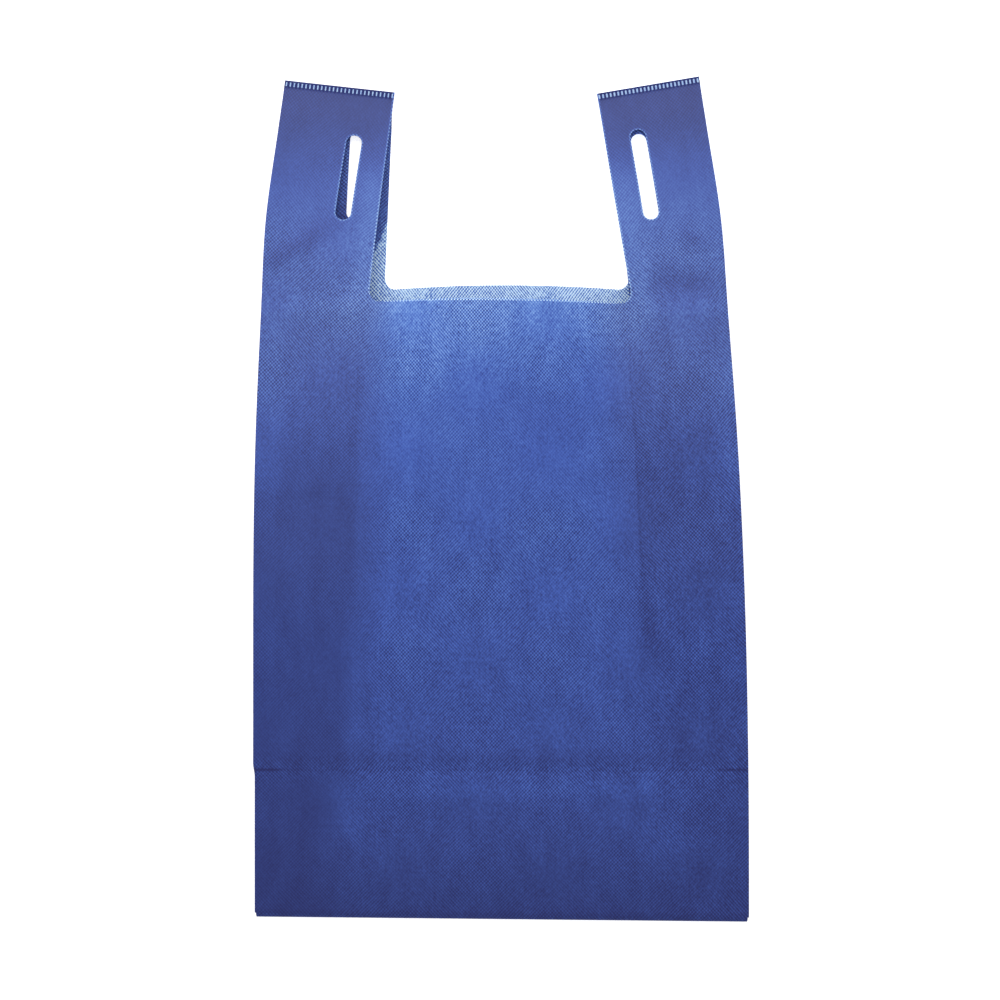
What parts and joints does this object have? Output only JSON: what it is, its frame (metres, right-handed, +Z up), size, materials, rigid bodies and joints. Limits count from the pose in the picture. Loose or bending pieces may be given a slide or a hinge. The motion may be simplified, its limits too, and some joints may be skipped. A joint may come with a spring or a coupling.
{
  "type": "reusable tote bag",
  "caption": "Flat-lying vest-style shopping bag of non-woven fabric with side gussets, punched handles and a folded bottom.",
  "frame": {"origin": "on the surface the bag lies on, under the middle of its outline", "axes": "+X across the bag, +Y from the bottom fold to the handle tops, +Z up through the front panel"},
  "size_m": [0.3004, 0.5114, 0.0318],
  "materials": {
    "nonwoven_blue": "matt spunbond polypropylene with fine embossed bond points"
  },
  "bodies": {
    "root": {"bag_body": "nonwoven_blue"}
  },
  "joints": []
}
